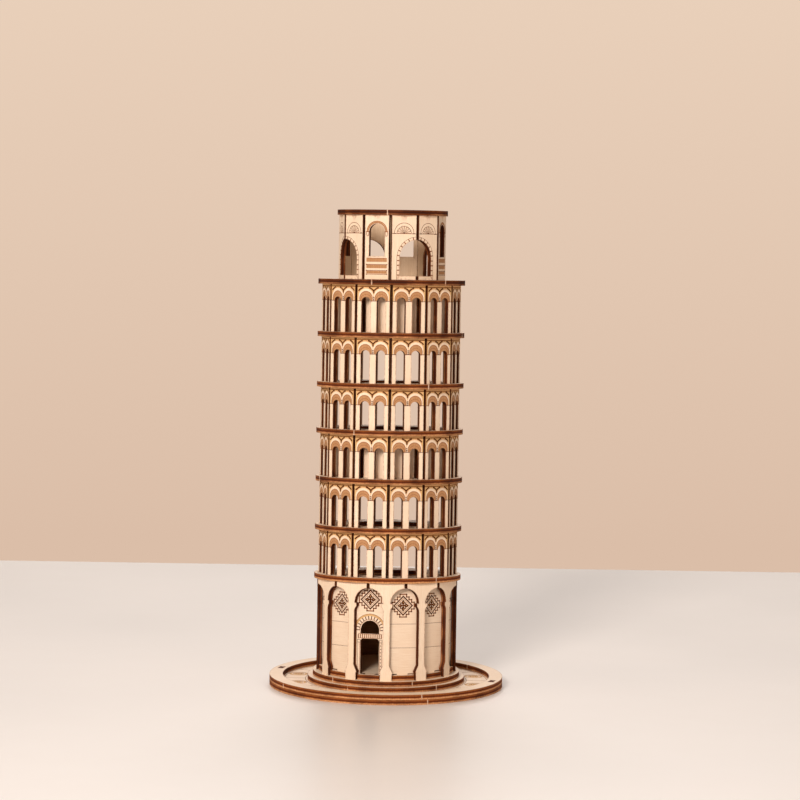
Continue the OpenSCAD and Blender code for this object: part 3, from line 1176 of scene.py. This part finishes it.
def loggia_marks(h):
    cap_y = h - CAPITAL_DROP

    def ring(side, t):
        """The line that is t of the way from the archivolt's outer edge to the opening."""
        r = ARCHIVOLT_R + t * (OPENING_W / 2 - ARCHIVOLT_R)
        x, spring_y = opening_centre(h, side)
        points = arc(x, spring_y + ARCHIVOLT_RISE * (1 - t), r, 180, 0, 20)
        return [(points[0][0], cap_y)] + points + [(points[-1][0], cap_y)]

    edge = LOGGIA_W / 2
    marks = [(TONE, strip(edge, cap_y, h + HALO))]
    for side in (-1, 1):
        marks.append((DUSK, ring(side, 0) + ring(side, 1)[::-1]))
        marks.append((FACE, ring(side, 0) + ring(side, PALE_SHARE)[::-1]))
        for share, width in FINE_ARCS:
            marks += drawn(TRACE, ring(side, share), width)
        for start, end in SHOULDER_ARCS:
            shoulder = arc(side * SHOULDER_X, h - SHOULDER_DROP, SHOULDER_R, start, end, 8)
            marks += drawn(LINE, shoulder, SHOULDER_W)
    marks += drawn(LINE, [(0, h - drop) for drop in STEM_DROPS], SHOULDER_W)
    marks += dots(LINE, [(0, h - drop) for drop in BEAD_DROPS], BEAD_R)
    for kind, drop, width in ((TRACE, CORNICE_DROP, CORNICE_W), (LINE, CAPITAL_DROP, FINE)):
        marks.append((kind, strip(edge, h - drop - width / 2, h - drop + width / 2)))
    return marks


def make_loggias():
    azimuths = [wall_az(i) for i in range(BAYS)]
    for k, h in enumerate(LOGGIA_H, 1):
        sheet = Sheet(loggia_outline(h), marks=loggia_marks(h))
        name = f"loggia_{k}_panels"
        make_ring(name, "loggia_ply", sheet, azimuths, LOGGIA_APOTHEM, deck_z(k) + PLY)
    for k in CORE_STOREYS:
        h = LOGGIA_H[k - 1]
        head = tabs((-CORE_W / 4, CORE_W / 4), TAB_W, h, h + PLY)
        sheet = Sheet(panel(CORE_W, 0, h, tabs((0,), TAB_W, 0, -PLY), head))
        name = f"loggia_{k}_core_panels"
        make_ring(name, "core_ply", sheet, azimuths, CORE_APOTHEM, deck_z(k) + PLY)


# ---- Belfry ----

# Engraving of the belfry panels, measured down from the top ring
STRING_DROP = 8.2
FAN_R = 4.4
FAN_RISE = 0.35
FAN_PETALS = 8
# A petal's radii at its foot, shoulders and tip, and its share of its sector's width
FAN_FOOT_R = 0.75
FAN_SHOULDER_R = 3.05
FAN_TIP_R = 3.45
FAN_SHARE = 0.72
FAN_DOT_OUT = 3.3
FAN_DOT_R = 0.2
FAN_HUB_R = 0.62
GATE_BAND = 1.2
GATE_BLOCK = 2.15
GATE_BLOCK_START = 0.4
WINDOW_BAND_IN = 0.35
WINDOW_BAND_OUT = 1.15
# The cup under each end of the window's band: half widths of lid, top and foot, and height
CUP_LID = 0.75
CUP_TOP = 0.62
CUP_FOOT = 0.3
CUP_H = 1.9
# Stripes under the window: top and bottom of each, then the lines between, with their widths
STRIPES_HALF_W = 4.75
STRIPES = ((19.3, 20.9), (22.2, 23.7), (24.9, 26.1))
STRIPE_LINES = ((19.2, HAIR), (22.05, FINE), (24.7, FINE), (26.4, FINE))
NAIL_R = 0.26
NAIL_XS = (4.1, 4.75)


def belfry_blank():
    head = tabs((0,), TAB_W, BELFRY_H, BELFRY_H + PLY)
    return panel(BELFRY_W, 0, BELFRY_H, tabs((0,), TAB_W, 0, -PLY), head)


def window_hole():
    r = WINDOW_W / 2
    head = arc(0, BELFRY_H - WINDOW_CROWN - r, r, 0, 180, 28)
    return [(-r, BELFRY_H - WINDOW_SILL), (r, BELFRY_H - WINDOW_SILL)] + head


def window_marks():
    r = WINDOW_W / 2
    spring_y = BELFRY_H - WINDOW_CROWN - r
    r_in, r_out = r + WINDOW_BAND_IN, r + WINDOW_BAND_OUT
    marks = [(DUSK, sector(0, spring_y, r_in, r_out, 0, 180, 28))]
    for edge_r in (r_in, r_out):
        marks += drawn(TRACE, arc(0, spring_y, edge_r, 0, 180, 28), HAIR)
    for side in (-1, 1):
        x = side * (r_in + r_out) / 2
        right = [(CUP_FOOT, -CUP_H), (CUP_TOP, 0)]
        cup = [(-dx, dy) for dx, dy in reversed(right)] + right
        marks += drawn(TRACE, moved(cup, x, spring_y), FINE)
        marks += drawn(TRACE, [(x - CUP_LID, spring_y), (x + CUP_LID, spring_y)], BOLD)
    for top, bottom in STRIPES:
        marks.append((DUSK, rect(-STRIPES_HALF_W, BELFRY_H - bottom, STRIPES_HALF_W, BELFRY_H - top)))
    for drop, width in STRIPE_LINES:
        ends = [(-STRIPES_HALF_W, BELFRY_H - drop), (STRIPES_HALF_W, BELFRY_H - drop)]
        marks += drawn(TRACE, ends, width)
        if width == FINE:
            marks += dots(LINE, ends, NAIL_R)
    return marks


def fan():
    """A half-round fan of petals over the string course."""
    y = BELFRY_H - STRING_DROP
    marks = drawn(TRACE, arc(0, y + FAN_RISE, FAN_R, -5, 185, 32), FINE)
    half = 90 / FAN_PETALS
    for n in range(FAN_PETALS):
        mid = 180 * (n + 0.5) / FAN_PETALS
        right, left = (polar(0, y, FAN_SHOULDER_R, mid + side * half * FAN_SHARE) for side in (-1, 1))
        petal = [right, polar(0, y, FAN_TIP_R, mid), left, polar(0, y, FAN_FOOT_R, mid)]
        marks += drawn(TRACE, petal, HAIR, closed=True)
        if n:
            marks += dots(LINE, [polar(0, y, FAN_DOT_OUT, mid - half)], FAN_DOT_R)
    marks.append((LINE, arc(0, y, FAN_HUB_R, 0, 180, 8)))
    marks.append((TRACE, strip(BELFRY_W / 2, y - FINE / 2, y + FINE / 2)))
    return marks + dots(LINE, [(side * x, y) for x in NAIL_XS for side in (-1, 1)], NAIL_R)


def gate(side):
    """Half of a large arch, on the panel whose joint with its partner is on that side."""
    joint_x = side * BELFRY_APOTHEM * math.tan(HALF_BAY)
    edge_x = side * BELFRY_W / 2
    spring_y = BELFRY_H - GATE_CROWN - GATE_R
    reach = math.degrees(math.acos((BELFRY_W / 2 - abs(joint_x)) / GATE_R))
    ends = (180, reach) if side > 0 else (0, 180 - reach)
    curve = arc(joint_x, spring_y, GATE_R, *ends, 24)
    opening = [(edge_x, GATE_SILL), (curve[0][0], GATE_SILL)] + curve
    return joint_x, spring_y, opening


def gate_outline(side):
    """The blank with the half arch cut out of its joint side, over the threshold."""
    blank = belfry_blank()
    opening = gate(side)[2]
    if side > 0:
        right_foot = blank.index((BELFRY_W / 2, 0)) + 1
        return blank[:right_foot] + opening + blank[right_foot:]
    return blank + opening[::-1]


def gate_marks(side):
    joint_x, spring_y, _ = gate(side)
    outer = GATE_R + GATE_BAND
    foot = (joint_x - side * outer, 0)
    band = [foot] + arc(joint_x, spring_y, outer, 180 if side > 0 else 0, 90, 24)
    marks = drawn(TRACE, band, HAIR)
    dashes = []
    y = GATE_SILL + GATE_BLOCK_START
    while y < spring_y:
        dashes.append([(joint_x - side * GATE_R, y), (joint_x - side * outer, y)])
        y += GATE_BLOCK
    turn = math.degrees(GATE_BLOCK / (GATE_R + GATE_BAND / 2))
    angle = turn * 0.5
    while angle < 90:
        facing = 180 - angle if side > 0 else angle
        dashes.append([polar(joint_x, spring_y, r, facing) for r in (GATE_R, outer)])
        angle += turn
    for dash in dashes:
        marks += drawn(TRACE, dash, BOLD)
    return marks


def make_belfry():
    sheets = (
        ("belfry_window_panels", Sheet(belfry_blank(), [window_hole()], window_marks())),
        ("belfry_arch_left_panels", Sheet(gate_outline(1), marks=fan() + gate_marks(1))),
        ("belfry_arch_right_panels", Sheet(gate_outline(-1), marks=fan() + gate_marks(-1))),
    )
    for first, (name, sheet) in enumerate(sheets):
        azimuths = [belfry_az(i) for i in range(first, BAYS, len(sheets))]
        make_ring(name, "belfry_ply", sheet, azimuths, BELFRY_APOTHEM, BELFRY_Z)


# ---- Stage ----

CAMERA_PLACE = (0.004495, -1.74648, 0.31319)
CAMERA_PITCH = 6.0168
CAMERA_ROLL = 0.8702
CAMERA_LENS = 176.375
CAMERA_SENSOR = 36
TABLE_HALF_W = 1.6
TABLE_NEAR_Y = -2.4
TABLE_FAR_Y = 0.362
TABLE_THICK = 0.03
WORLD_LIGHT = 0.36
# The wall is palest at eye level, and darkest where the view drops by this much
WALL_FADE = 0.14
MIDDLE = (0, 0, 0.11)
# Name, place, what it points at, diameter, power and colour
LIGHTS = (
    ("key", (-0.6, -1.8, 1.0), MIDDLE, 0.6, 36, srgb(255, 244, 234)),
    ("side", (-1.6, -0.5, 0.7), MIDDLE, 0.8, 1.5, srgb(255, 228, 196)),
    ("fill", (1.3, -1.3, 0.6), MIDDLE, 1.2, 4, srgb(255, 236, 222)),
    ("window", (0, 2.6, 2.2), (0, 0, 0), 2.5, 54, srgb(255, 250, 248)),
)


def make_camera():
    data = bpy.data.cameras.new("camera")
    data.lens = CAMERA_LENS
    data.sensor_width = CAMERA_SENSOR
    camera = add_object("camera", data)
    tilt = Matrix.Rotation(math.radians(90 - CAMERA_PITCH), 4, "X")
    roll = Matrix.Rotation(math.radians(CAMERA_ROLL), 4, "Z")
    camera.matrix_world = Matrix.Translation(CAMERA_PLACE) @ tilt @ roll
    bpy.context.scene.camera = camera


def make_table():
    """A pale, faintly glossy table top, ending behind the object."""
    n = material_nodes("table_top")
    where = n.node("ShaderNodeTexCoord").outputs["Object"]
    mottle = n.noise(where, scale=9, detail=3)
    colour = n.mix(n.remap(mottle, 0.3, 0.7), srgb(238, 233, 230), srgb(234, 228, 224))
    roughness = n.remap(mottle, 0.3, 0.7, 0.32, 0.4)
    material = n.surface(colour, roughness, n.bump(mottle, 0.2 * MM, 0.05), 0.4)
    corners = rect(-TABLE_HALF_W, TABLE_NEAR_Y, TABLE_HALF_W, TABLE_FAR_Y)
    verts = [(x, y, z) for z in (0, -TABLE_THICK) for x, y in corners]
    faces = [(0, 1, 2, 3), (7, 6, 5, 4), (0, 4, 5, 1), (1, 5, 6, 2), (2, 6, 7, 3), (3, 7, 4, 0)]
    mesh = bpy.data.meshes.new("table")
    mesh.from_pydata(verts, [], faces)
    mesh.materials.append(material)
    add_object("table", mesh)


def make_light(name, place, target, size, power, colour):
    data = bpy.data.lights.new(name, "AREA")
    data.shape = "DISK"
    data.size = size
    data.energy = power
    data.color = colour[:3]
    light = add_object(name, data)
    light.location = place
    light.rotation_euler = (Vector(target) - Vector(place)).to_track_quat("-Z", "Y").to_euler()


def make_world():
    """A beige wall as the camera sees it, paler higher up, and a softer, less coloured studio light."""
    world = bpy.data.worlds.new("studio")
    n = Nodes(world, "ShaderNodeOutputWorld")
    direction = n.node("ShaderNodeSeparateXYZ")
    n.link(n.node("ShaderNodeTexCoord").outputs["Generated"], direction.inputs[0])
    rise = n.remap(direction.outputs["Z"], -WALL_FADE, 0.0)
    seen = n.node("ShaderNodeBackground")
    n.link(n.ramp(rise, ((0.0, srgb(219, 190, 168)), (1.0, srgb(233, 208, 186)))), seen.inputs["Color"])
    light = n.node("ShaderNodeBackground")
    light.inputs["Color"].default_value = srgb(240, 224, 208)
    light.inputs["Strength"].default_value = WORLD_LIGHT
    mixed = n.node("ShaderNodeMixShader")
    n.link(n.node("ShaderNodeLightPath").outputs["Is Camera Ray"], mixed.inputs[0])
    n.link(light.outputs[0], mixed.inputs[1])
    n.link(seen.outputs[0], mixed.inputs[2])
    n.link(mixed.outputs[0], n.output.inputs["Surface"])
    bpy.context.scene.world = world


make_camera()
make_base()
make_sill()
make_pillars()
make_walls()
make_decks()
make_loggias()
make_belfry()
make_table()
make_world()
for light in LIGHTS:
    make_light(*light)

bpy.context.scene.view_settings.view_transform = "Standard"
